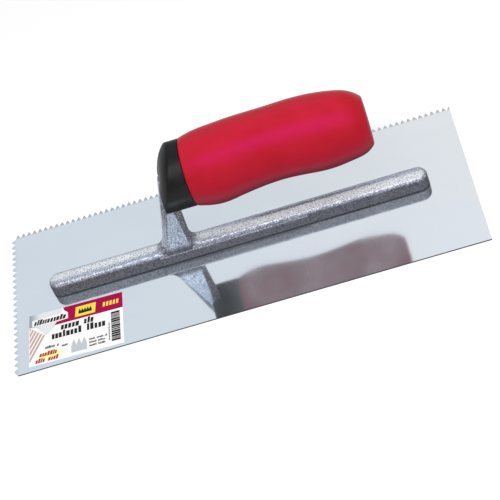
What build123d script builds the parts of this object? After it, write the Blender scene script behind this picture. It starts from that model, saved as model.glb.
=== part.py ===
from build123d import *
import os
from math import sqrt

# Notched trowel, millimetres.
# Origin: centre of the blade's underside. +X along the blade towards the rear of the handle,
# +Y towards the toothed long edge, +Z up.

# Blade
BLADE_LENGTH = 279.4
BLADE_WIDTH = 114.3
BLADE_THICKNESS = 0.8
LONG_EDGE_TEETH = 77
LONG_EDGE_PITCH = 3.62
LONG_EDGE_DEPTH = 3.8
SHORT_EDGE_TEETH = 23
SHORT_EDGE_PITCH = 4.79
SHORT_EDGE_DEPTH = 3.1
SHORT_EDGE_START = 51.8
NEAR_CORNER_CUT = 2.3
FAR_CORNER_VALLEY = (2.9, 3.6)

# Bar of the casting, which lies along the blade
BAR_LENGTH = 230.0
BAR_WIDTH = 12.5
BAR_HEIGHT = 9.7
BAR_CENTRE_X = 1.2
BAR_DRAFT = 1.5
BAR_TOP_ROUND = 2.9
PANEL_START_X = -46.0
PANEL_END_X = 44.0
PANEL_PROUD = 0.35
PANEL_MARGIN = 1.6
PANEL_CORNER_RADIUS = 1.4

# Post of the casting, which leans back under the handle and ends in a head inside the collar
POST_FOOT_Z = BLADE_THICKNESS + BAR_HEIGHT
POST_FRONT_X = -41.8
POST_FRONT_LEAN = 0.255
POST_FRONT_FLARE = 7.0
POST_REAR_X = -25.0
POST_REAR_LEAN = 0.055
POST_REAR_FLARE = 6.0
POST_FLARE_STEPS = (0.0, 0.6, 1.6, 3.2, 5.5, 9.0)
POST_HALF_WIDTH = 6.1
POST_SIDE_DRAFT = 0.02
FACE_FRONT_X = -40.2
FACE_FRONT_LEAN = 0.33
FACE_REAR_X = -25.6
FACE_REAR_LEAN = -0.045
BEVEL_DEPTH = 3.2
NECK_Z = 46.0
HEAD_TOP_Z = 68.0
HEAD_REAR_X = -13.5
HEAD_HALF_WIDTH = 5.2
HEAD_BEVEL = 3.0
HEAD_SLOPE = 0.78
HEAD_SLOPE_FRONT_Z = 62.0

# Tang of the casting, inside the handle
HANDLE_AXIS_Z = 61.0
TANG_RADIUS = 4.75
TANG_END_X = 64.5
TAPPED_DEPTH = 18.0

# Rivets through the blade into the bar
RIVET_COUNT = 8
RIVET_PITCH = 28.0
RIVET_RADIUS = 2.0
RIVET_HEAD_RADIUS = 3.6
RIVET_DEPTH = 6.5

# Collar of the handle core, whose front is a dome on a leaning axis
COLLAR_RADIUS = 19.5
COLLAR_FRONT_X = -28.5
COLLAR_END_X = -11.0
NOSE_CENTRE_X = -24.6
NOSE_TILT = 19.8
NOSE_RISE = 3.5
NOSE_FLAT_RADIUS = 6.0
NOSE_SHOULDER = (14.5, 2.7)
NOSE_RIM_RADIUS = 20.3
NOSE_REACH = 40.0
NOSE_REACH_RADIUS = 44.3

# Barrel and rear bore of the handle core
BARREL_RADIUS = 15.5
BARREL_END_RADIUS = 10.5
BARREL_TAPER_X = 66.0
BARREL_END_X = 88.0
REAR_BORE_RADIUS = 7.0
REAR_BORE_START_X = 66.5

# Grip sleeve: x, height of the section's centre, radius of the section
GRIP_SECTIONS = (
    (-11.0, 61.0, 19.6),
    (-7.5, 60.9, 20.5),
    (-3.0, 60.8, 21.5),
    (5.0, 60.8, 22.2),
    (15.0, 61.9, 21.9),
    (27.0, 63.0, 21.3),
    (40.0, 63.3, 21.0),
    (52.0, 62.9, 21.5),
    (63.0, 61.9, 21.8),
    (72.0, 61.3, 21.2),
    (79.0, 60.9, 20.1),
    (85.0, 60.3, 18.8),
    (89.5, 59.7, 16.7),
    (93.1, 59.5, 13.8),
)
GRIP_END_X = GRIP_SECTIONS[-1][0]
GRIP_FRONT_ROUND = 0.8
GRIP_REAR_ROUND = 1.0

# Screw, washer and plug at the handle's rear
SCREW_RADIUS = 2.5
SCREW_HEAD_RADIUS = 4.75
SCREW_HEAD_HEIGHT = 3.4
SCREW_LENGTH = 14.0
SCREW_HEAD_CHAMFER = 0.5
HEX_RADIUS = 2.3
HEX_DEPTH = 2.0
WASHER_RADIUS = 6.4
WASHER_THICKNESS = 1.2
PLUG_FLANGE_RADIUS = 9.0
PLUG_FLANGE_THICKNESS = 1.4
PLUG_STEM_LENGTH = 11.0
PLUG_STEM_WALL = 1.4
PLUG_EDGE_CHAMFER = 0.3

# Label on the blade
LABEL_LENGTH = 57.4
LABEL_WIDTH = 39.2
LABEL_THICKNESS = 0.1
LABEL_CENTRE = (-101.4, -34.8)
LABEL_TURN = -1.8

# Clearance round a pin or tang in its hole, and round the post's head in its slot
FIT_GAP = 0.1
SLOT_GAP = 0.3

# How far a cut runs past the surface it opens, and joined solids run into each other
OVERRUN = 1.0


def side_profile(points):
    """Face in the XZ plane from (x, z) points."""
    return make_face(Plane.XZ * Polyline(*points, close=True))


def through_width(face, half_width):
    """Solid of an XZ face, as far to each side of the middle as half_width."""
    return extrude(face, half_width, both=True)


def cylinder_along_x(radius, start_x, end_x):
    """Solid cylinder on the handle's axis."""
    circle = Plane.YZ.offset(start_x) * Pos(0, HANDLE_AXIS_Z) * Circle(radius)
    return extrude(circle, end_x - start_x)


def rivet_positions():
    """Rivet places along the bar, evenly spaced about its middle."""
    first = BAR_CENTRE_X - RIVET_PITCH * (RIVET_COUNT - 1) / 2
    return [first + RIVET_PITCH * i for i in range(RIVET_COUNT)]


def rivet(x, radius, head_radius, depth):
    """Countersunk rivet, its head flush with the blade's underside."""
    head = Pos(x, 0, BLADE_THICKNESS / 2) * Cone(head_radius, radius, BLADE_THICKNESS)
    shank = Pos(x, 0, depth / 2) * Cylinder(radius, depth)
    return head + shank


def blade_outline():
    """Blade outline, from the near left corner round by the right edge."""
    half_length = BLADE_LENGTH / 2
    half_width = BLADE_WIDTH / 2
    points = [
        (-half_length + NEAR_CORNER_CUT, -half_width),
        (half_length, -half_width),
        (half_length, half_width),
    ]
    for tooth in range(1, LONG_EDGE_TEETH):
        tip_x = half_length - tooth * LONG_EDGE_PITCH
        points.append((tip_x + LONG_EDGE_PITCH / 2, half_width - LONG_EDGE_DEPTH))
        points.append((tip_x, half_width))
    valley_in, valley_down = FAR_CORNER_VALLEY
    points.append((-half_length + valley_in, half_width - valley_down))
    points.append((-half_length, SHORT_EDGE_START))
    for tooth in range(1, SHORT_EDGE_TEETH):
        tip_y = SHORT_EDGE_START - tooth * SHORT_EDGE_PITCH
        points.append((-half_length + SHORT_EDGE_DEPTH, tip_y + SHORT_EDGE_PITCH / 2))
        points.append((-half_length, tip_y))
    return points


def make_blade():
    """Toothed sheet with countersunk rivet holes."""
    face = make_face(Polyline(*blade_outline(), close=True))
    blade = extrude(face, BLADE_THICKNESS)
    for x in rivet_positions():
        blade -= rivet(x, RIVET_RADIUS, RIVET_HEAD_RADIUS, BLADE_THICKNESS)
    return blade


def make_bar():
    """Round-ended bar with drafted sides, a rounded top and a flat panel on each side."""
    foot = SlotOverall(BAR_LENGTH, BAR_WIDTH)
    bar = extrude(Pos(BAR_CENTRE_X, 0, BLADE_THICKNESS) * foot, BAR_HEIGHT, taper=BAR_DRAFT)
    bar = fillet(bar.faces().sort_by(Axis.Z)[-1].edges(), BAR_TOP_ROUND)
    panel_low = BLADE_THICKNESS + PANEL_MARGIN
    panel_high = BLADE_THICKNESS + BAR_HEIGHT - BAR_TOP_ROUND
    outline = side_profile(
        [
            (PANEL_START_X, panel_low),
            (PANEL_END_X, panel_low),
            (PANEL_END_X, panel_high),
            (PANEL_START_X, panel_high),
        ]
    )
    outline = fillet(outline.vertices(), PANEL_CORNER_RADIUS)
    return bar + through_width(outline, BAR_WIDTH / 2 + PANEL_PROUD)


def post_section(z):
    """Eight-sided cross-section of the post at height z, flared towards the bar."""
    rise = z - POST_FOOT_Z
    front_flare = flare(rise, POST_FRONT_FLARE)
    rear_flare = flare(rise, POST_REAR_FLARE)
    front_x = POST_FRONT_X + POST_FRONT_LEAN * rise - front_flare
    rear_x = POST_REAR_X + POST_REAR_LEAN * rise + rear_flare
    face_front_x = FACE_FRONT_X + FACE_FRONT_LEAN * rise
    face_rear_x = FACE_REAR_X + FACE_REAR_LEAN * rise
    outer = POST_HALF_WIDTH - POST_SIDE_DRAFT * rise
    inner = outer - BEVEL_DEPTH
    return eight_sided(z, front_x, face_front_x, face_rear_x, rear_x, inner, outer)


def flare(rise, radius):
    """How far a quarter-round fillet of this radius stands out at this height above its foot."""
    if rise >= radius:
        return 0
    rise = max(rise, 0)
    return radius - sqrt(radius**2 - (radius - rise) ** 2)


def eight_sided(z, front_x, face_front_x, face_rear_x, rear_x, inner, outer):
    """Horizontal face at height z whose four corners are cut off."""
    half = [(front_x, inner), (face_front_x, outer), (face_rear_x, outer), (rear_x, inner)]
    other_half = [(x, -y) for x, y in reversed(half)]
    return Pos(0, 0, z) * make_face(Polyline(*half, *other_half, close=True))


def make_post():
    """Post from just inside the bar up to the neck, smooth between its sections."""
    heights = [POST_FOOT_Z + rise for rise in POST_FLARE_STEPS] + [NECK_Z]
    flared = loft([post_section(z) for z in heights], ruled=True)
    root = extrude(Pos(0, 0, -BAR_TOP_ROUND) * post_root(), BAR_TOP_ROUND)
    return flared + root


def post_root():
    """Section of the post without its flares, which is buried in the bar."""
    inner = POST_HALF_WIDTH - BEVEL_DEPTH
    return eight_sided(
        POST_FOOT_Z,
        POST_FRONT_X,
        FACE_FRONT_X,
        FACE_REAR_X,
        POST_REAR_X,
        inner,
        POST_HALF_WIDTH,
    )


def head_section(z):
    """Section of the head inside the collar, which carries on the post's front edge."""
    front_x = POST_FRONT_X + POST_FRONT_LEAN * (z - POST_FOOT_Z)
    return eight_sided(
        z,
        front_x,
        front_x + HEAD_BEVEL,
        HEAD_REAR_X - OVERRUN,
        HEAD_REAR_X,
        HEAD_HALF_WIDTH - HEAD_BEVEL,
        HEAD_HALF_WIDTH,
    )


def head_slope(gap):
    """Line that slopes over the head's top front, or with a gap the slot's line above it."""
    front_x = COLLAR_FRONT_X - OVERRUN
    front_z = HEAD_SLOPE_FRONT_Z - HEAD_SLOPE * OVERRUN + gap * sqrt(1 + HEAD_SLOPE**2)
    top_z = HEAD_TOP_Z + gap
    return (front_x, front_z), (front_x + (top_z - front_z) / HEAD_SLOPE, top_z)


def make_head():
    """Head at the top of the post, sloped off where it turns into the tang."""
    head = loft([head_section(NECK_Z), head_section(HEAD_TOP_Z)], ruled=True)
    slope_start, slope_end = head_slope(0)
    above = side_profile([slope_start, slope_end, (slope_start[0], HEAD_TOP_Z)])
    return head - through_width(above, HEAD_HALF_WIDTH + OVERRUN)


def make_shank_casting():
    """Bar, post, head and tang in one casting, with rivet holes and a tapped end."""
    tang = cylinder_along_x(TANG_RADIUS, HEAD_REAR_X - OVERRUN, TANG_END_X)
    casting = make_bar() + make_post() + make_head() + tang
    casting -= cylinder_along_x(SCREW_RADIUS + FIT_GAP, TANG_END_X - TAPPED_DEPTH, TANG_END_X)
    for x in rivet_positions():
        hole_depth = RIVET_DEPTH + FIT_GAP
        casting -= Pos(x, 0, hole_depth / 2) * Cylinder(RIVET_RADIUS + FIT_GAP, hole_depth)
    return casting


def nose_envelope():
    """Domed body of revolution on a leaning axis, which shapes the collar's front."""
    dome = ThreePointArc((NOSE_FLAT_RADIUS, NOSE_RISE), NOSE_SHOULDER, (NOSE_RIM_RADIUS, 0))
    outline = Polyline(
        (NOSE_RIM_RADIUS, 0),
        (NOSE_REACH_RADIUS, -NOSE_REACH),
        (0, -NOSE_REACH),
        (0, NOSE_RISE),
        (NOSE_FLAT_RADIUS, NOSE_RISE),
    )
    nose = revolve(make_face([Plane.XZ * dome, Plane.XZ * outline]), Axis.Z)
    return Pos(NOSE_CENTRE_X, 0, HANDLE_AXIS_Z) * Rot(0, NOSE_TILT - 90, 0) * nose


def make_collar():
    """Round collar with a leaning, domed front that is cut off square low down."""
    return cylinder_along_x(COLLAR_RADIUS, COLLAR_FRONT_X, COLLAR_END_X) & nose_envelope()


def barrel(gap):
    """Barrel of the core, or with a gap the space for it."""
    radius = BARREL_RADIUS + gap
    end_radius = BARREL_END_RADIUS + gap
    points = [
        (COLLAR_END_X, 0),
        (COLLAR_END_X, radius),
        (BARREL_TAPER_X, radius),
        (BARREL_END_X, end_radius),
        (BARREL_END_X, 0),
    ]
    profile = Pos(0, 0, HANDLE_AXIS_Z) * side_profile(points)
    return revolve(profile, Axis((0, 0, HANDLE_AXIS_Z), (1, 0, 0)))


def head_space():
    """Slot in the collar for the post's neck and head, closed above the head's sloping front."""
    half = HEAD_HALF_WIDTH + SLOT_GAP
    low = HANDLE_AXIS_Z - COLLAR_RADIUS - OVERRUN
    neck_rear = POST_REAR_X + POST_REAR_LEAN * (NECK_Z - POST_FOOT_Z) + SLOT_GAP
    slope_start, slope_end = head_slope(SLOT_GAP)
    outline = side_profile(
        [
            (slope_start[0], low),
            (neck_rear, low),
            (neck_rear, NECK_Z),
            (HEAD_REAR_X, NECK_Z),
            (HEAD_REAR_X, HEAD_TOP_Z + SLOT_GAP),
            slope_end,
            slope_start,
        ]
    )
    return through_width(outline, half)


def make_handle_core():
    """Hard moulding: collar and barrel, with the slot, the tang's bore and the rear bore."""
    core = make_collar() + barrel(0)
    core -= head_space()
    core -= cylinder_along_x(TANG_RADIUS + FIT_GAP, HEAD_REAR_X - OVERRUN, REAR_BORE_START_X)
    return core - cylinder_along_x(REAR_BORE_RADIUS, REAR_BORE_START_X, BARREL_END_X)


def make_grip_sleeve():
    """Soft sleeve, lofted through round sections, hollow for the barrel and open at the rear."""
    sections = [Plane.YZ.offset(x) * Pos(0, z) * Circle(r) for x, z, r in GRIP_SECTIONS]
    grip = loft(sections)
    grip = fillet(grip.edges().sort_by(Axis.X)[0], GRIP_FRONT_ROUND)
    grip = fillet(grip.edges().sort_by(Axis.X)[-1], GRIP_REAR_ROUND)
    grip -= barrel(0)
    grip -= cylinder_along_x(REAR_BORE_RADIUS, BARREL_END_X, GRIP_END_X)
    recess_x = GRIP_END_X - PLUG_FLANGE_THICKNESS
    return grip - cylinder_along_x(PLUG_FLANGE_RADIUS + FIT_GAP, recess_x, GRIP_END_X)


def make_handle_screw():
    """Socket head screw that pulls the core onto the tang."""
    seat_x = REAR_BORE_START_X + WASHER_THICKNESS
    top_x = seat_x + SCREW_HEAD_HEIGHT
    screw = cylinder_along_x(SCREW_RADIUS, seat_x - SCREW_LENGTH, seat_x)
    head = cylinder_along_x(SCREW_HEAD_RADIUS, seat_x, top_x)
    screw += chamfer(head.edges().sort_by(Axis.X)[-1], SCREW_HEAD_CHAMFER)
    socket = Plane.YZ.offset(top_x - HEX_DEPTH) * Pos(0, HANDLE_AXIS_Z)
    return screw - extrude(socket * RegularPolygon(HEX_RADIUS, 6), HEX_DEPTH)


def make_handle_washer():
    """Plain washer between the screw's head and the shoulder in the rear bore."""
    end_x = REAR_BORE_START_X + WASHER_THICKNESS
    washer = cylinder_along_x(WASHER_RADIUS, REAR_BORE_START_X, end_x)
    return washer - cylinder_along_x(SCREW_RADIUS + FIT_GAP, REAR_BORE_START_X, end_x)


def make_end_plug():
    """Push-in plug: a flange flush with the grip's end and a hollow stem in the bore."""
    recess_x = GRIP_END_X - PLUG_FLANGE_THICKNESS
    stem_x = recess_x - PLUG_STEM_LENGTH
    flange = cylinder_along_x(PLUG_FLANGE_RADIUS, recess_x, GRIP_END_X)
    flange = chamfer(flange.edges().sort_by(Axis.X)[-1], PLUG_EDGE_CHAMFER)
    stem = cylinder_along_x(REAR_BORE_RADIUS - FIT_GAP, stem_x, recess_x)
    stem -= cylinder_along_x(REAR_BORE_RADIUS - FIT_GAP - PLUG_STEM_WALL, stem_x, recess_x)
    return flange + stem


def make_label():
    """Thin printed sticker on the blade."""
    outline = Pos(*LABEL_CENTRE, BLADE_THICKNESS) * Rot(0, 0, LABEL_TURN)
    return extrude(outline * Rectangle(LABEL_LENGTH, LABEL_WIDTH), LABEL_THICKNESS)


def make_nodes():
    """Every node's name and solid."""
    nodes = {
        "blade": make_blade(),
        "shank_casting": make_shank_casting(),
        "handle_core": make_handle_core(),
        "grip_sleeve": make_grip_sleeve(),
        "handle_screw": make_handle_screw(),
        "handle_washer": make_handle_washer(),
        "end_plug": make_end_plug(),
        "label": make_label(),
    }
    for number, x in enumerate(rivet_positions(), start=1):
        nodes[f"rivet_{number}"] = rivet(x, RIVET_RADIUS, RIVET_HEAD_RADIUS, RIVET_DEPTH)
    return nodes


os.makedirs("parts", exist_ok=True)
for name, solid in make_nodes().items():
    export_step(solid, f"parts/{name}.step")
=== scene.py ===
import math
import random

import bmesh
import bpy
from mathutils import Matrix, Vector, noise


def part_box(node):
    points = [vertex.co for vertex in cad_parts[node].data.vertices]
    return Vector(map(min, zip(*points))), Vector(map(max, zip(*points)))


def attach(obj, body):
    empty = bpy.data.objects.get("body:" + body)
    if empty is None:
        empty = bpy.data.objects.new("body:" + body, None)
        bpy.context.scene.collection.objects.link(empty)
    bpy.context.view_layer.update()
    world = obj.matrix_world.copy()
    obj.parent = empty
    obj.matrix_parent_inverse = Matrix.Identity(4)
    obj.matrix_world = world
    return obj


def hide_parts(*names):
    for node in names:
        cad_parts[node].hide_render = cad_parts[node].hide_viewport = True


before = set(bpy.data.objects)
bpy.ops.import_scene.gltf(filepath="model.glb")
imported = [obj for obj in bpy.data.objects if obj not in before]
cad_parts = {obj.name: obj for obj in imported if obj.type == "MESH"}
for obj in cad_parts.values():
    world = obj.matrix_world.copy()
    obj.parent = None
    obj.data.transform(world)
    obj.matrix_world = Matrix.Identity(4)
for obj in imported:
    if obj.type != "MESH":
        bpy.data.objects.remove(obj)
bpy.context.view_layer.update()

# Notched trowel. Four CAD nodes are replaced by softened copies, the label gets its print, and
# the other nodes get a better finish.
#
# Metres. The frame is the CAD model's: blade underside at z = 0, handle along x, teeth along the
# far edge (+y) and the left end (-x).
MM = 0.001
BLADE_LOW, BLADE_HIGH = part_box("blade")
LABEL_LOW, LABEL_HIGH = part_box("label")
# Up to the first of these heights the casting is all bar, and from the second it is all post.
BAR_TOP, POST_START = BLADE_HIGH.z + 9.8 * MM, BLADE_HIGH.z + 13.2 * MM
random.seed(7)


# ---------------------------------------------------------------- materials


class Nodes:
    """Short ways to add nodes to a tree. A value may be a number, a colour or a socket."""

    def __init__(self, tree, place):
        self.tree = tree
        self.place = self.tree.nodes.new("ShaderNodeTexCoord").outputs[place]

    def give(self, socket, value):
        """Links a socket to another one, or sets its value."""
        if isinstance(value, bpy.types.NodeSocket):
            self.tree.links.new(value, socket)
        else:
            socket.default_value = value

    def node(self, kind, inputs, **settings):
        """Adds a node of a kind, with what its inputs take and its settings."""
        made = self.tree.nodes.new(kind)
        for key, value in settings.items():
            setattr(made, key, value)
        for key, value in inputs.items():
            self.give(made.inputs[key], value)
        return made

    def remap(self, value, from_low, from_high, to_low=0.0, to_high=1.0, easing="LINEAR"):
        """A value moved from one range to another, and held within the new one."""
        inputs = {0: value, 1: from_low, 2: from_high, 3: to_low, 4: to_high}
        return self.node("ShaderNodeMapRange", inputs, interpolation_type=easing).outputs[0]

    def ease(self, *ramp):
        """A remap that starts and ends softly."""
        return self.remap(*ramp, easing="SMOOTHSTEP")

    def between(self, share, first, second):
        """Number between two numbers by a share."""
        return self.remap(share, 0.0, 1.0, first, second)

    def spread(self, noise, first=0.0, second=1.0):
        """Noise, most of which lies between 0.3 and 0.7, spread from one number to another."""
        return self.remap(noise, 0.3, 0.7, first, second)

    def math(self, operation, first, second):
        return self.node("ShaderNodeMath", {0: first, 1: second}, operation=operation).outputs[0]

    def plus(self, first, second):
        return self.math("ADD", first, second)

    def minus(self, first, second):
        return self.math("SUBTRACT", first, second)

    def times(self, first, second):
        return self.math("MULTIPLY", first, second)

    def rest(self, share):
        """What a share leaves of one."""
        return self.minus(1.0, share)

    def absolute(self, value):
        """A value without its sign."""
        return self.node("ShaderNodeMath", {0: value}, operation="ABSOLUTE").outputs[0]

    def apart(self, first, second):
        """How far two values are from each other."""
        return self.absolute(self.minus(first, second))

    def blend(self, share, first, second):
        """Colour between two colours by a share."""
        made = self.node("ShaderNodeMix", {0: share}, data_type="RGBA")
        for socket, value in ((made.inputs[6], first), (made.inputs[7], second)):
            self.give(socket, (*value, 1) if isinstance(value, tuple) else value)
        return made.outputs[2]

    def axes(self, vector):
        """The x, y and z of a vector."""
        return self.node("ShaderNodeSeparateXYZ", {0: vector}).outputs


class Finish(Nodes):
    """A procedural material on one Principled shader, placed by the object's own coordinates."""

    def __init__(self, name, **values):
        self.material = bpy.data.materials.new(name)
        self.material.use_nodes = True
        super().__init__(self.material.node_tree, "Object")
        self.shader = self.tree.nodes["Principled BSDF"]
        for socket, value in values.items():
            self.shader.inputs[socket.replace("_", " ")].default_value = value

    def grain(self, size_mm, detail=2.0, roughness=0.5, stretch=(1, 1, 1)):
        """Noise from 0 to 1 whose lumps are about this size, longer along some axes by stretch."""
        shrink = [1 / s for s in stretch]
        place = self.node("ShaderNodeMapping", {"Vector": self.place, "Scale": shrink}).outputs[0]
        inputs = {
            "Vector": place,
            "Scale": 1 / (size_mm * MM),
            "Detail": detail,
            "Roughness": roughness,
        }
        return self.node("ShaderNodeTexNoise", inputs).outputs[0]

    def normal(self):
        """The way the surface faces."""
        return self.tree.nodes.new("ShaderNodeNewGeometry").outputs["Normal"]

    def bump(self, height, depth_mm, under=None):
        """Normal of a surface with this height on it, on top of another bump if there is one."""
        inputs = {"Height": height, "Distance": depth_mm * MM}
        if under is not None:
            inputs["Normal"] = under
        return self.node("ShaderNodeBump", inputs).outputs[0]

    def drive(self, **sockets):
        """Links node sockets to the shader's own, and gives the finished material."""
        for name, source in sockets.items():
            self.tree.links.new(source, self.shader.inputs[name.replace("_", " ")])
        return self.material


def stainless_sheet():
    """Bright rolled stainless: a fine grain along the blade, faint smears and a thin film."""
    f = Finish("stainless_sheet")
    x, y, _ = f.axes(f.place)
    _, facing_y, facing_z = f.axes(f.normal())
    lines = f.grain(0.14, 3, 0.6, stretch=(90, 1, 1))
    smear = f.grain(34, 4, 0.55, stretch=(1.6, 1, 1))
    tone = f.blend(f.spread(smear), (0.745, 0.82, 0.872), (0.785, 0.85, 0.892))
    tone = f.blend(f.remap(lines, 0.6, 0.8, 0, 0.18), tone, (0.55, 0.59, 0.63))
    # Painted shade: the teeth are darker than the sheet behind them.
    far_teeth = f.ease(y, BLADE_HIGH.y - 3.95 * MM, BLADE_HIGH.y - 2.35 * MM, 0.0, 0.7)
    left_teeth = f.ease(x, BLADE_LOW.x + 3.3 * MM, BLADE_LOW.x + 1.1 * MM, 0.0, 0.3)
    tone = f.blend(f.math("MAXIMUM", far_teeth, left_teeth), tone, (0.30, 0.315, 0.34))
    # The film dulls the steel in clouds, most of all in the near right part.
    near = f.ease(y, -6 * MM, -34 * MM)
    right = f.ease(x, -15 * MM, 5 * MM)
    clouds = f.remap(f.grain(30, 2, 0.5, stretch=(1, 1.5, 1)), 0.34, 0.66, 0.5, 1.05)
    film = f.times(f.between(f.times(near, right), 0.25, 1.0), clouds)
    tone = f.blend(film, tone, (0.735, 0.80, 0.88))
    # All cut edges are rough, and the straight ones along the blade are painted dark as well, as a
    # line of shade.
    edge = f.math("LESS_THAN", f.absolute(facing_z), 0.5)
    straight = f.math("GREATER_THAN", f.absolute(facing_y), 0.95)
    tone = f.blend(f.times(edge, straight), tone, (0.04, 0.04, 0.05))
    gloss = f.plus(f.remap(lines, 0.3, 0.75, 0.03, 0.08), f.remap(smear, 0.4, 0.75, 0.0, 0.04))
    gloss = f.math("MAXIMUM", gloss, f.times(edge, 0.5))
    gloss = f.plus(gloss, f.between(film, 0.0, 0.03))
    bare = f.between(film, 0.97, 0.72)
    waves = f.bump(f.grain(60, 1, 0.4), 0.02)
    normal = f.bump(lines, 0.0003, waves)
    return f.drive(Base_Color=tone, Metallic=bare, Roughness=gloss, Normal=normal)


def cast_aluminium():
    """As-cast skin: speckled, with a painted highlight along the bar's top and painted dull grey
    shade on its sides.
    """
    f = Finish("cast_aluminium")
    x, y, z = f.axes(f.place)
    facing_x, _, facing_z = f.axes(f.normal())
    # Shares for the bar, the post, what faces up and the bar's sides.
    bar = f.remap(z, BAR_TOP, POST_START, 1.0, 0.0)
    post = f.rest(bar)
    crown = f.ease(facing_z, 0.68, 0.99)
    side = f.times(bar, f.rest(f.ease(facing_z, 0.12, 0.62)))
    # Painted highlight: a bright band along the bar's top, behind the middle on the left, in front
    # of it on the right.
    band_y = f.remap(x, -30 * MM, 15 * MM, 1.0 * MM, -2.0 * MM)
    band = f.times(f.ease(f.apart(y, band_y), 1.2 * MM, 4.2 * MM, 1.0, 0.0), bar)
    tone = f.blend(band, (0.54, 0.61, 0.76), (0.90, 0.95, 1.0))
    # Painted light and shade by facing: the post's rear faces are painted dull, its front the
    # palest, and a painted shade line parts front and side.
    rear = f.ease(facing_x, 0.20, 0.55, 0.0, 0.85)
    tone = f.blend(f.times(rear, post), tone, (0.17, 0.16, 0.17))
    front = f.ease(facing_x, -0.65, -0.85, 0.0, 0.9)
    tone = f.blend(f.times(front, post), tone, (0.85, 0.91, 1.0))
    shade_line = f.ease(f.apart(facing_x, -0.55), 0.06, 0.20, 0.8, 0.0)
    tone = f.blend(f.times(shade_line, post), tone, (0.16, 0.16, 0.19))
    # A painted shadow and reflection of the grip: a dark streak behind the band starts right of the
    # post and fades towards the bar's end.
    streak = f.ease(f.apart(y, 2.2 * MM), 0.2 * MM, 1.5 * MM, 1.0, 0.0)
    streak = f.times(streak, f.remap(x, 5 * MM, 20 * MM))
    streak = f.times(streak, f.remap(x, 60 * MM, 100 * MM, 0.95, 0.1))
    tone = f.blend(f.times(streak, bar), tone, (0.12, 0.12, 0.14))
    # Painted shade: the bar's rounded shoulders are darker than its top, and its sides are darker
    # still.
    tone = f.blend(f.times(bar, f.rest(crown)), tone, (0.36, 0.39, 0.48))
    tone = f.blend(side, tone, (0.16, 0.16, 0.185))
    # Broad blotches, then fine dark pits and bright sparks, both painted darker on the sides as
    # shade.
    blotch = f.grain(7, 3, 0.55)
    tone = f.blend(f.remap(blotch, 0.35, 0.7, 0, 0.22), tone, (0.28, 0.29, 0.33))
    speck = f.grain(0.8, 2, 0.65)
    pit = f.blend(side, (0.14, 0.14, 0.17), (0.05, 0.05, 0.06))
    tone = f.blend(f.remap(speck, 0.50, 0.36, 0, 0.8), tone, pit)
    spark = f.blend(side, (0.98, 0.98, 1.0), (0.24, 0.24, 0.28))
    tone = f.blend(f.remap(speck, 0.54, 0.66, 0, 0.8), tone, spark)
    # Painted shadow in the corner between the bar and the blade.
    foot = f.remap(z, BLADE_HIGH.z + 0.4 * MM, BLADE_HIGH.z + 1.1 * MM, 0.9, 0.0)
    tone = f.blend(foot, tone, (0.01, 0.01, 0.012))
    gloss = f.plus(f.spread(f.grain(1.3, 2, 0.6), 0.32, 0.46), f.between(crown, 0.24, 0.0))
    # The painted highlight band is also less metallic where the bar faces up.
    metal_under_highlight = f.between(f.times(band, crown), 0.75, 0.3)
    normal = f.bump(speck, 0.20, f.bump(f.grain(2.2, 3, 0.6), 0.22))
    return f.drive(Base_Color=tone, Metallic=metal_under_highlight, Roughness=gloss, Normal=normal)


def black_plastic():
    """Black moulding with a fine spark-eroded grain, greyer where it is rubbed, dull underneath."""
    f = Finish("black_plastic", IOR=1.45, Specular_IOR_Level=0.25)
    rub = f.grain(9, 3, 0.6)
    tone = f.blend(f.remap(rub, 0.4, 0.75), (0.006, 0.006, 0.007), (0.012, 0.012, 0.013))
    under = f.ease(f.axes(f.normal())[2], 0.0, -0.5, 0.0, 0.35)
    gloss = f.plus(f.spread(rub, 0.42, 0.55), under)
    return f.drive(Base_Color=tone, Roughness=gloss, Normal=f.bump(f.grain(0.4), 0.03))


def red_rubber():
    """Satin red grip skin: tiny orange peel, faint mottling, and painted shade underneath."""
    f = Finish("red_rubber", IOR=1.45, Specular_IOR_Level=0.33, Specular_Tint=(1.0, 0.0, 1.0, 1))
    mottle = f.grain(14, 3, 0.5)
    tone = f.blend(f.spread(mottle), (0.51, 0.015, 0.018), (0.56, 0.018, 0.027))
    # Painted shade: the underside is darker, and rougher as well.
    under = f.ease(f.axes(f.normal())[2], -0.15, -0.75)
    tone = f.blend(under, tone, (0.24, 0.018, 0.026))
    gloss = f.plus(f.spread(mottle, 0.42, 0.48), f.between(under, 0.0, 0.4))
    return f.drive(Base_Color=tone, Roughness=gloss, Normal=f.bump(f.grain(0.5), 0.008))


def turned_metal(name, dark, light, line_mm):
    """Bright fastener metal with fine machining lines."""
    f = Finish(name, Metallic=1.0)
    lines = f.grain(line_mm, 2, 0.6, stretch=(4, 1, 4))
    tone = f.blend(f.spread(lines), dark, light)
    gloss = f.spread(lines, 0.2, 0.34)
    return f.drive(Base_Color=tone, Roughness=gloss, Normal=f.bump(lines, 0.008))


def printed(name, first, second, share=None):
    """Coated paper or ink in two tones, mixed by the paper's fibre or by another share."""
    f = Finish(name, IOR=1.45, Specular_IOR_Level=0.15)
    fibre = f.grain(0.4, 4, 0.65, stretch=(3, 1, 1))
    tone = f.blend(share(f) if share else f.spread(fibre), first, second)
    gloss = f.spread(fibre, 0.5, 0.62)
    return f.drive(Base_Color=tone, Roughness=gloss, Normal=f.bump(fibre, 0.004))


def floor_finish():
    """White studio sweep, a little lit from within so that it stays paler than the steel."""
    f = Finish("studio_floor", Roughness=0.9, Emission_Strength=0.16)
    f.shader.inputs["Emission Color"].default_value = (1, 1, 1, 1)
    cloud = f.grain(260, 2, 0.5)
    return f.drive(Base_Color=f.blend(cloud, (0.92, 0.92, 0.92), (0.95, 0.95, 0.95)))


# ------------------------------------------------------------------- pieces


def clamp(value):
    """A value held between 0 and 1."""
    return min(1.0, max(0.0, value))


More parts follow.
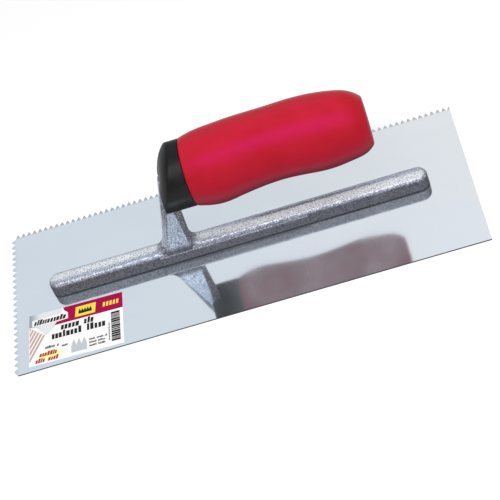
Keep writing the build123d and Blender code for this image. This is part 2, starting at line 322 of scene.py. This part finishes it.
def add_object(name, data):
    """Puts a new object with this mesh, lamp or camera into the scene."""
    made = bpy.data.objects.new(name, data)
    bpy.context.scene.collection.objects.link(made)
    return made


def paint_node(node, material):
    """Gives a CAD node that stays a better finish, in the material slots it has."""
    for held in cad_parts[node].material_slots:
        held.material = material


def finish_piece(piece, material, slot, *nodes):
    """Paints a piece, lets it ride on the trowel and hides the CAD nodes it stands for."""
    piece.data.materials.clear()
    piece.data.materials.append(material)
    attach(piece, "root")
    if nodes:
        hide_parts(*nodes)


def paint_fasteners():
    """Aluminium rivets along the bar, and the plated screw and washer inside the handle."""
    aluminium = turned_metal("rivet_aluminium", (0.72, 0.72, 0.73), (0.84, 0.84, 0.85), line_mm=0.3)
    plated = turned_metal("plated_steel", (0.55, 0.55, 0.54), (0.70, 0.70, 0.68), line_mm=0.25)
    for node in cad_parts:
        if node.startswith("rivet_"):
            paint_node(node, aluminium)
    for node in ("handle_screw", "handle_washer"):
        paint_node(node, plated)


def apply_modifiers(piece):
    """Gives a piece the mesh that its modifiers make of it."""
    graph = bpy.context.evaluated_depsgraph_get()
    piece.data = bpy.data.meshes.new_from_object(piece.evaluated_get(graph))
    piece.data.name = piece.name
    piece.modifiers.clear()


def softened_copy(node, name, voxel_mm, passes):
    """Closed copy of a CAD node whose edges are rounded as a mould or a casting leaves them."""
    same_place = 0.001 * MM
    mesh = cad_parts[node].data.copy()
    welded = bmesh.new()
    welded.from_mesh(mesh)
    bmesh.ops.remove_doubles(welded, verts=welded.verts, dist=same_place)
    welded.to_mesh(mesh)
    welded.free()
    piece = add_object(name, mesh)
    remesh = piece.modifiers.new("even_quads", "REMESH")
    remesh.mode = "VOXEL"
    remesh.voxel_size = voxel_mm * MM
    remesh.use_smooth_shade = True
    smooth = piece.modifiers.new("round_edges", "SMOOTH")
    smooth.factor = 0.5
    smooth.iterations = passes
    apply_modifiers(piece)
    return piece


def roughen(mesh, size_mm, depth_mm, floor_z):
    """Moves points in and out by smooth noise, less in the last millimetre above a height."""
    normals = [vertex.normal.copy() for vertex in mesh.vertices]
    for vertex, normal in zip(mesh.vertices, normals):
        clear = clamp((vertex.co.z - floor_z) / MM)
        push = noise.noise(vertex.co / (size_mm * MM)) * depth_mm * MM * clear
        place = vertex.co + normal * push
        place.z = max(place.z, floor_z)
        vertex.co = place


def make_casting():
    """Bar and post with the slightly uneven skin of a casting."""
    piece = softened_copy("shank_casting", "cast_shank", voxel_mm=0.45, passes=3)
    roughen(piece.data, size_mm=5.0, depth_mm=0.10, floor_z=BLADE_HIGH.z)
    finish_piece(piece, cast_aluminium(), "cast_aluminium", "shank_casting")


def make_core(material):
    """Black collar, in one piece with the barrel inside the grip."""
    piece = softened_copy("handle_core", "collar_and_barrel", voxel_mm=0.5, passes=3)
    finish_piece(piece, material, "black_plastic", "handle_core")


def round_rim(piece, from_x_mm, axis_z_mm, clear_radius_mm, passes):
    """Rounds the rim at the rear end of a piece along x, but not the hole in that end."""
    fade_x_mm, fade_radius_mm = 4, 2
    group = piece.vertex_groups.new(name="rim")
    for vertex in piece.data.vertices:
        x, y, z = vertex.co / MM
        past_hole = math.hypot(y, z - axis_z_mm) - clear_radius_mm
        beyond = clamp((x - from_x_mm) / fade_x_mm)
        outside = clamp(past_hole / fade_radius_mm)
        group.add([vertex.index], beyond * outside, "REPLACE")
    smooth = piece.modifiers.new("round_rim", "SMOOTH")
    smooth.iterations = passes
    smooth.vertex_group = group.name
    apply_modifiers(piece)
    piece.vertex_groups.clear()


def make_grip():
    """Rubber sleeve with a soft rear rim, which stays as it is close to the plug."""
    piece = softened_copy("grip_sleeve", "grip_skin", voxel_mm=0.6, passes=9)
    plug_low, plug_high = (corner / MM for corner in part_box("end_plug"))
    round_rim(
        piece,
        from_x_mm=plug_high.x - 9.1,
        axis_z_mm=(plug_low.z + plug_high.z) / 2,
        clear_radius_mm=plug_high.y + 2.0,
        passes=30,
    )
    finish_piece(piece, red_rubber(), "red_rubber", "grip_sleeve")


def make_plug(material):
    """Round black plug in the rear end of the handle."""
    piece = softened_copy("end_plug", "rear_plug", voxel_mm=0.25, passes=3)
    finish_piece(piece, material, "black_plastic", "end_plug")


# -------------------------------------------------------------------- label
#
# Outlines on the label are (u, v) in millimetres from its near left corner: u along the blade,
# v towards the bar. The layout is given, and all wording is replaced by plain marks.

LABEL_SIZE_MM = (57.4, 39.2)
LABEL_TURN_DEGREES = -1.8
INK_MM = 0.012
SILVER_TIP = (10.4, 20.6)
GLOW_MIDDLE, GLOW_REACH = (13.0, 5.0), (10.4, 5.0)
# Each ink has two near tones, but silver and glow shade from the first colour to the second.
INKS = {
    "silver": ((0.30, 0.35, 0.39), (0.78, 0.81, 0.83)),
    "glow": ((0.98, 0.92, 0.42), (0.965, 0.965, 0.955)),
    "tan": ((0.52, 0.36, 0.32), (0.62, 0.45, 0.40)),
    "crimson": ((0.38, 0.001, 0.060), (0.43, 0.001, 0.072)),
    "white": ((0.95, 0.95, 0.94), (0.98, 0.98, 0.97)),
    "yellow": ((0.90, 0.72, 0.05), (0.95, 0.80, 0.10)),
    "black": ((0.012, 0.012, 0.013), (0.022, 0.022, 0.024)),
    "grey": ((0.50, 0.54, 0.57), (0.60, 0.64, 0.66)),
    "red": ((0.36, 0.02, 0.015), (0.48, 0.05, 0.02)),
}


def ink(colour, share=None):
    """Printing ink in one of the colours above."""
    return printed(f"ink_{colour}", *INKS[colour], share)


def label_place(u, v):
    """The x and y in metres of a point on the label."""
    turn = Matrix.Rotation(math.radians(LABEL_TURN_DEGREES), 2)
    middle = (LABEL_LOW + LABEL_HIGH) / 2
    return middle.xy + turn @ Vector((u - LABEL_SIZE_MM[0] / 2, v - LABEL_SIZE_MM[1] / 2)) * MM


def print_shapes(name, material, outlines, layer):
    """Thin closed slabs of ink on the paper. A higher layer lies over a lower one."""
    made = bmesh.new()
    heights = (LABEL_HIGH.z - INK_MM * MM / 2, LABEL_HIGH.z + layer * INK_MM * MM)
    for outline in outlines:
        low, high = ([made.verts.new((*label_place(u, v), z)) for u, v in outline] for z in heights)
        made.faces.new(low[::-1])
        made.faces.new(high)
        for i, j in zip(range(len(outline)), [*range(1, len(outline)), 0]):
            made.faces.new((low[i], low[j], high[j], high[i]))
    mesh = bpy.data.meshes.new(name)
    made.to_mesh(mesh)
    made.free()
    finish_piece(add_object(name, mesh), material, "printed_paper")


def block(u, v, width, height, slant=0.0):
    """Four-sided outline from its near left corner, leaning to the right by slant."""
    lean = height * slant
    return [(u, v), (u + width, v), (u + width + lean, v + height), (u + lean, v + height)]


def oval(u, v, half_width, half_height, corners=48):
    """Outline of an ellipse round a middle."""
    turns = [2 * math.pi * i / corners for i in range(corners)]
    return [(u + half_width * math.cos(t), v + half_height * math.sin(t)) for t in turns]


def greeked_line(u, v, width, height, slant=0.0, word=6):
    """Row of uneven upright marks in groups, which stands for a line of print.

    The sizes of the marks and of the gaps between them are shares of the line's height.
    """
    marks = []
    at = u
    room_for_last = height * 0.3
    while at < u + width - room_for_last:
        thick = height * random.uniform(0.26, 0.46)
        tall = height * random.choice((0.76, 0.76, 1.0))
        marks.append(block(at, v, thick, tall, slant))
        gap = 0.7 if len(marks) % word == 0 else random.uniform(0.08, 0.15)
        at += thick + height * gap
    return marks


def cross_lines(u, v, width, height):
    """Stack of lines of uneven thickness across a strip, as in a machine-read code."""
    lines = []
    at = v
    while at < v + height:
        thick = random.choice((0.5, 0.9, 1.4))
        lines.append(block(u, at, width, thick))
        at += thick + random.choice((0.25, 0.3, 0.4))
    return lines


def tooth_sign(u, v, width, body, tooth, count=3):
    """Outline of a short notched edge, teeth up."""
    pitch = width / count
    outline = [(u + width, v), (u + width, v + body)]
    for i in reversed(range(count)):
        outline.append((u + pitch * (i + 0.5), v + body + tooth))
        outline.append((u + pitch * i, v + body))
    return outline + [(u, v)]


def groove_stripes(count):
    """Slanted stripes down from the silver corner's lower edge to the label's left edge."""
    margin, fall_per_mm, inked = 0.3, 1.93, 0.62
    top_left, top_right = Vector((margin, 29.6)), Vector(SILVER_TIP)

    def ends(share):
        top = top_left.lerp(top_right, share)
        return top, (margin, top.y - (top.x - margin) * fall_per_mm)

    stripes = []
    for i in range(count):
        (top, foot), (next_top, next_foot) = ends(i / count), ends((i + inked) / count)
        outline = [foot, next_foot, next_top, top] if i else [next_foot, next_top, top]
        stripes.append([tuple(point) for point in outline])
    return stripes


def across_label(first_mm, last_mm):
    """Share that grows from 0 to 1 between two places along the label."""

    def share(f):
        x = f.axes(f.place)[0]
        return f.ease(x, LABEL_LOW.x + first_mm * MM, LABEL_LOW.x + last_mm * MM)

    return share


def glow_share(f):
    """Share that grows with distance from the middle of the glow, at half the rate along x."""
    middle = label_place(*GLOW_MIDDLE)
    x, y, _ = f.axes(f.place)
    far_x = f.times(f.minus(x, middle.x), 0.5)
    far_y = f.minus(y, middle.y)
    squares = f.plus(f.times(far_x, far_x), f.times(far_y, far_y))
    distance, full_glow, no_glow = f.math("POWER", squares, 0.5), 2.0 * MM, 4.9 * MM
    return f.remap(distance, full_glow, no_glow)


def print_areas():
    """The label's coloured areas: silver corner, glow, stripes, crimson band, plate and yellow."""
    width, depth = LABEL_SIZE_MM
    silver = [(0, 29.9), (4.8, 28.7), SILVER_TIP, (16.0, 26.4), (21.1, depth), (0, depth)]
    print_shapes("print_silver", ink("silver", across_label(0.5, 9)), [silver], layer=1)
    margin = 0.2
    glow = [(max(margin, u), max(margin, v)) for u, v in oval(*GLOW_MIDDLE, *GLOW_REACH)]
    print_shapes("print_glow", ink("glow", glow_share), [glow], layer=1)
    print_shapes("print_grooves", ink("tan"), groove_stripes(6), layer=2)
    band = [(width, 27.3), (width, depth), (21.1, depth), (21.6, 36.8), (23.9, 34.6)]
    band += [(24.0, 29.9), (17.2, 29.5), (15.5, 27.1)]
    print_shapes("print_crimson", ink("crimson"), [band], layer=2)
    plate = block(1.9, 29.9, 21.6, 4.9)
    print_shapes("print_plate", ink("white"), [plate], layer=3)
    sign = block(28.2, 29.0, 12.4, 7.7, slant=0.08)
    marks = [block(45.2 + 2.05 * i, 31.5, 1.35, 3.3, slant=0.12) for i in range(5)]
    print_shapes("print_yellow", ink("yellow"), [sign, *marks], layer=3)


def print_marks():
    """The label's fine print: marks in place of wording, notched signs and a code of lines."""
    sign = tooth_sign(30.4, 31.0, width=8.2, body=1.6, tooth=2.4, count=5)
    heading = greeked_line(2.8, 30.4, 20.6, 4.0, slant=0.25, word=20)
    sizes = greeked_line(19.4, 22.2, 21.6, 4.6, slant=0.1, word=5)
    title = greeked_line(14.0, 16.6, 32.6, 5.0, word=8)
    small = greeked_line(9.8, 10.6, 8.2, 2.1, slant=0.2) + greeked_line(20.0, 9.2, 4.2, 1.4)
    notes = [mark for v in (8.6, 6.2, 3.8) for mark in greeked_line(36.6, v, 10.8, 1.5)]
    dots = [block(48.4, 4.5 + 1.15 * i, 0.7, 0.75) for i in range(12)]
    code = cross_lines(50.1, 3.3, 5.3, 21.2)
    black = [sign, *heading, *sizes, *title, *small, *notes, *dots, *code]
    print_shapes("print_black", ink("black"), black, layer=4)
    teeth = tooth_sign(25.7, 2.6, width=9.4, body=5.0, tooth=4.8)
    print_shapes("print_teeth", ink("grey"), [teeth], layer=2)
    red = greeked_line(6.2, 5.4, 11.4, 3.2, slant=0.2, word=20)
    red += greeked_line(3.8, 1.2, 16.6, 3.2, slant=0.2, word=4)
    print_shapes("print_red", ink("red"), red, layer=3)


def make_label():
    """White paper with its print."""
    paint_node("label", printed("label_paper", *INKS["white"]))
    print_areas()
    print_marks()


# -------------------------------------------------------------------- light


def aim(thing, target, azimuth, elevation, distance, roll=0.0):
    """Points a lamp or camera at a target, from the near side at azimuth 0, the right at 90."""
    a, e = math.radians(azimuth), math.radians(elevation)
    back = Vector((math.sin(a) * math.cos(e), -math.cos(a) * math.cos(e), math.sin(e)))
    look = (-back).to_track_quat("-Z", "Y").to_matrix()
    turn = Matrix.Rotation(math.radians(roll), 3, "Z")
    thing.matrix_world = Matrix.Translation(target + back * distance) @ (look @ turn).to_4x4()


def add_softbox(name, azimuth, elevation, distance, width, height, radiance):
    """Oblong soft light of a given brightness over the trowel, not seen by the camera itself."""
    light = bpy.data.lights.new(name, "AREA")
    light.shape = "RECTANGLE"
    light.size, light.size_y = width, height
    light.energy = radiance * math.pi * width * height
    lamp = add_object(name, light)
    lamp.visible_camera = False
    trowel = Vector((0, 0, 30 * MM))
    aim(lamp, trowel, azimuth, elevation, distance)


def make_room():
    """Dim room with a large pale panel behind the trowel, which the steel mirrors."""
    world = bpy.data.worlds.new("studio")
    bpy.context.scene.world = world
    world.use_nodes = True
    n = Nodes(world.node_tree, "Generated")
    dim, cool, warm = (0.25, 0.25, 0.26), (0.78, 0.81, 0.85), (1.0, 0.95, 0.92)
    # The panel is cool on the left and warm on the right. Its soft edge is given as cosines.
    middle, edge_start, edge_end = Vector((-0.08, 0.70, 0.71)).normalized(), 0.85, 0.965
    towards = n.node("ShaderNodeVectorMath", {0: n.place, 1: middle}, operation="DOT_PRODUCT")
    share = n.ease(towards.outputs["Value"], edge_start, edge_end)
    panel = n.blend(n.ease(n.axes(n.place)[0], -0.28, 0.15), cool, warm)
    n.give(world.node_tree.nodes["Background"].inputs[0], n.blend(share, dim, panel))


def make_floor():
    """Wide floor a little below the blade. No soft light bounces off it onto the trowel."""
    half_size, squares, drop = 8.0, 32, 0.3 * MM
    grid = bmesh.new()
    bmesh.ops.create_grid(grid, x_segments=squares, y_segments=squares, size=half_size)
    mesh = bpy.data.meshes.new("floor")
    grid.to_mesh(mesh)
    grid.free()
    mesh.materials.append(floor_finish())
    floor = add_object("floor", mesh)
    floor.visible_diffuse = False
    floor.location.z = -drop


def make_camera():
    """Long lens above the trowel's near side, rolled so that the blade slopes up to the right."""
    camera = add_object("camera", bpy.data.cameras.new("camera"))
    camera.data.sensor_width = 36.0
    camera.data.lens = 114.05
    camera.data.clip_end = 40.0
    target = Vector((0.0062, -0.01186, 0))
    aim(camera, target, azimuth=9.284, elevation=44.493, distance=0.91507, roll=-22.878)
    bpy.context.scene.camera = camera


plastic = black_plastic()
paint_node("blade", stainless_sheet())
paint_fasteners()
make_casting()
make_core(plastic)
make_grip()
make_plug(plastic)
make_label()

make_room()
make_floor()
add_softbox("key", azimuth=10, elevation=62, distance=1.9, width=2.2, height=0.7, radiance=7.3)
make_camera()
bpy.context.scene.view_settings.view_transform = "Standard"
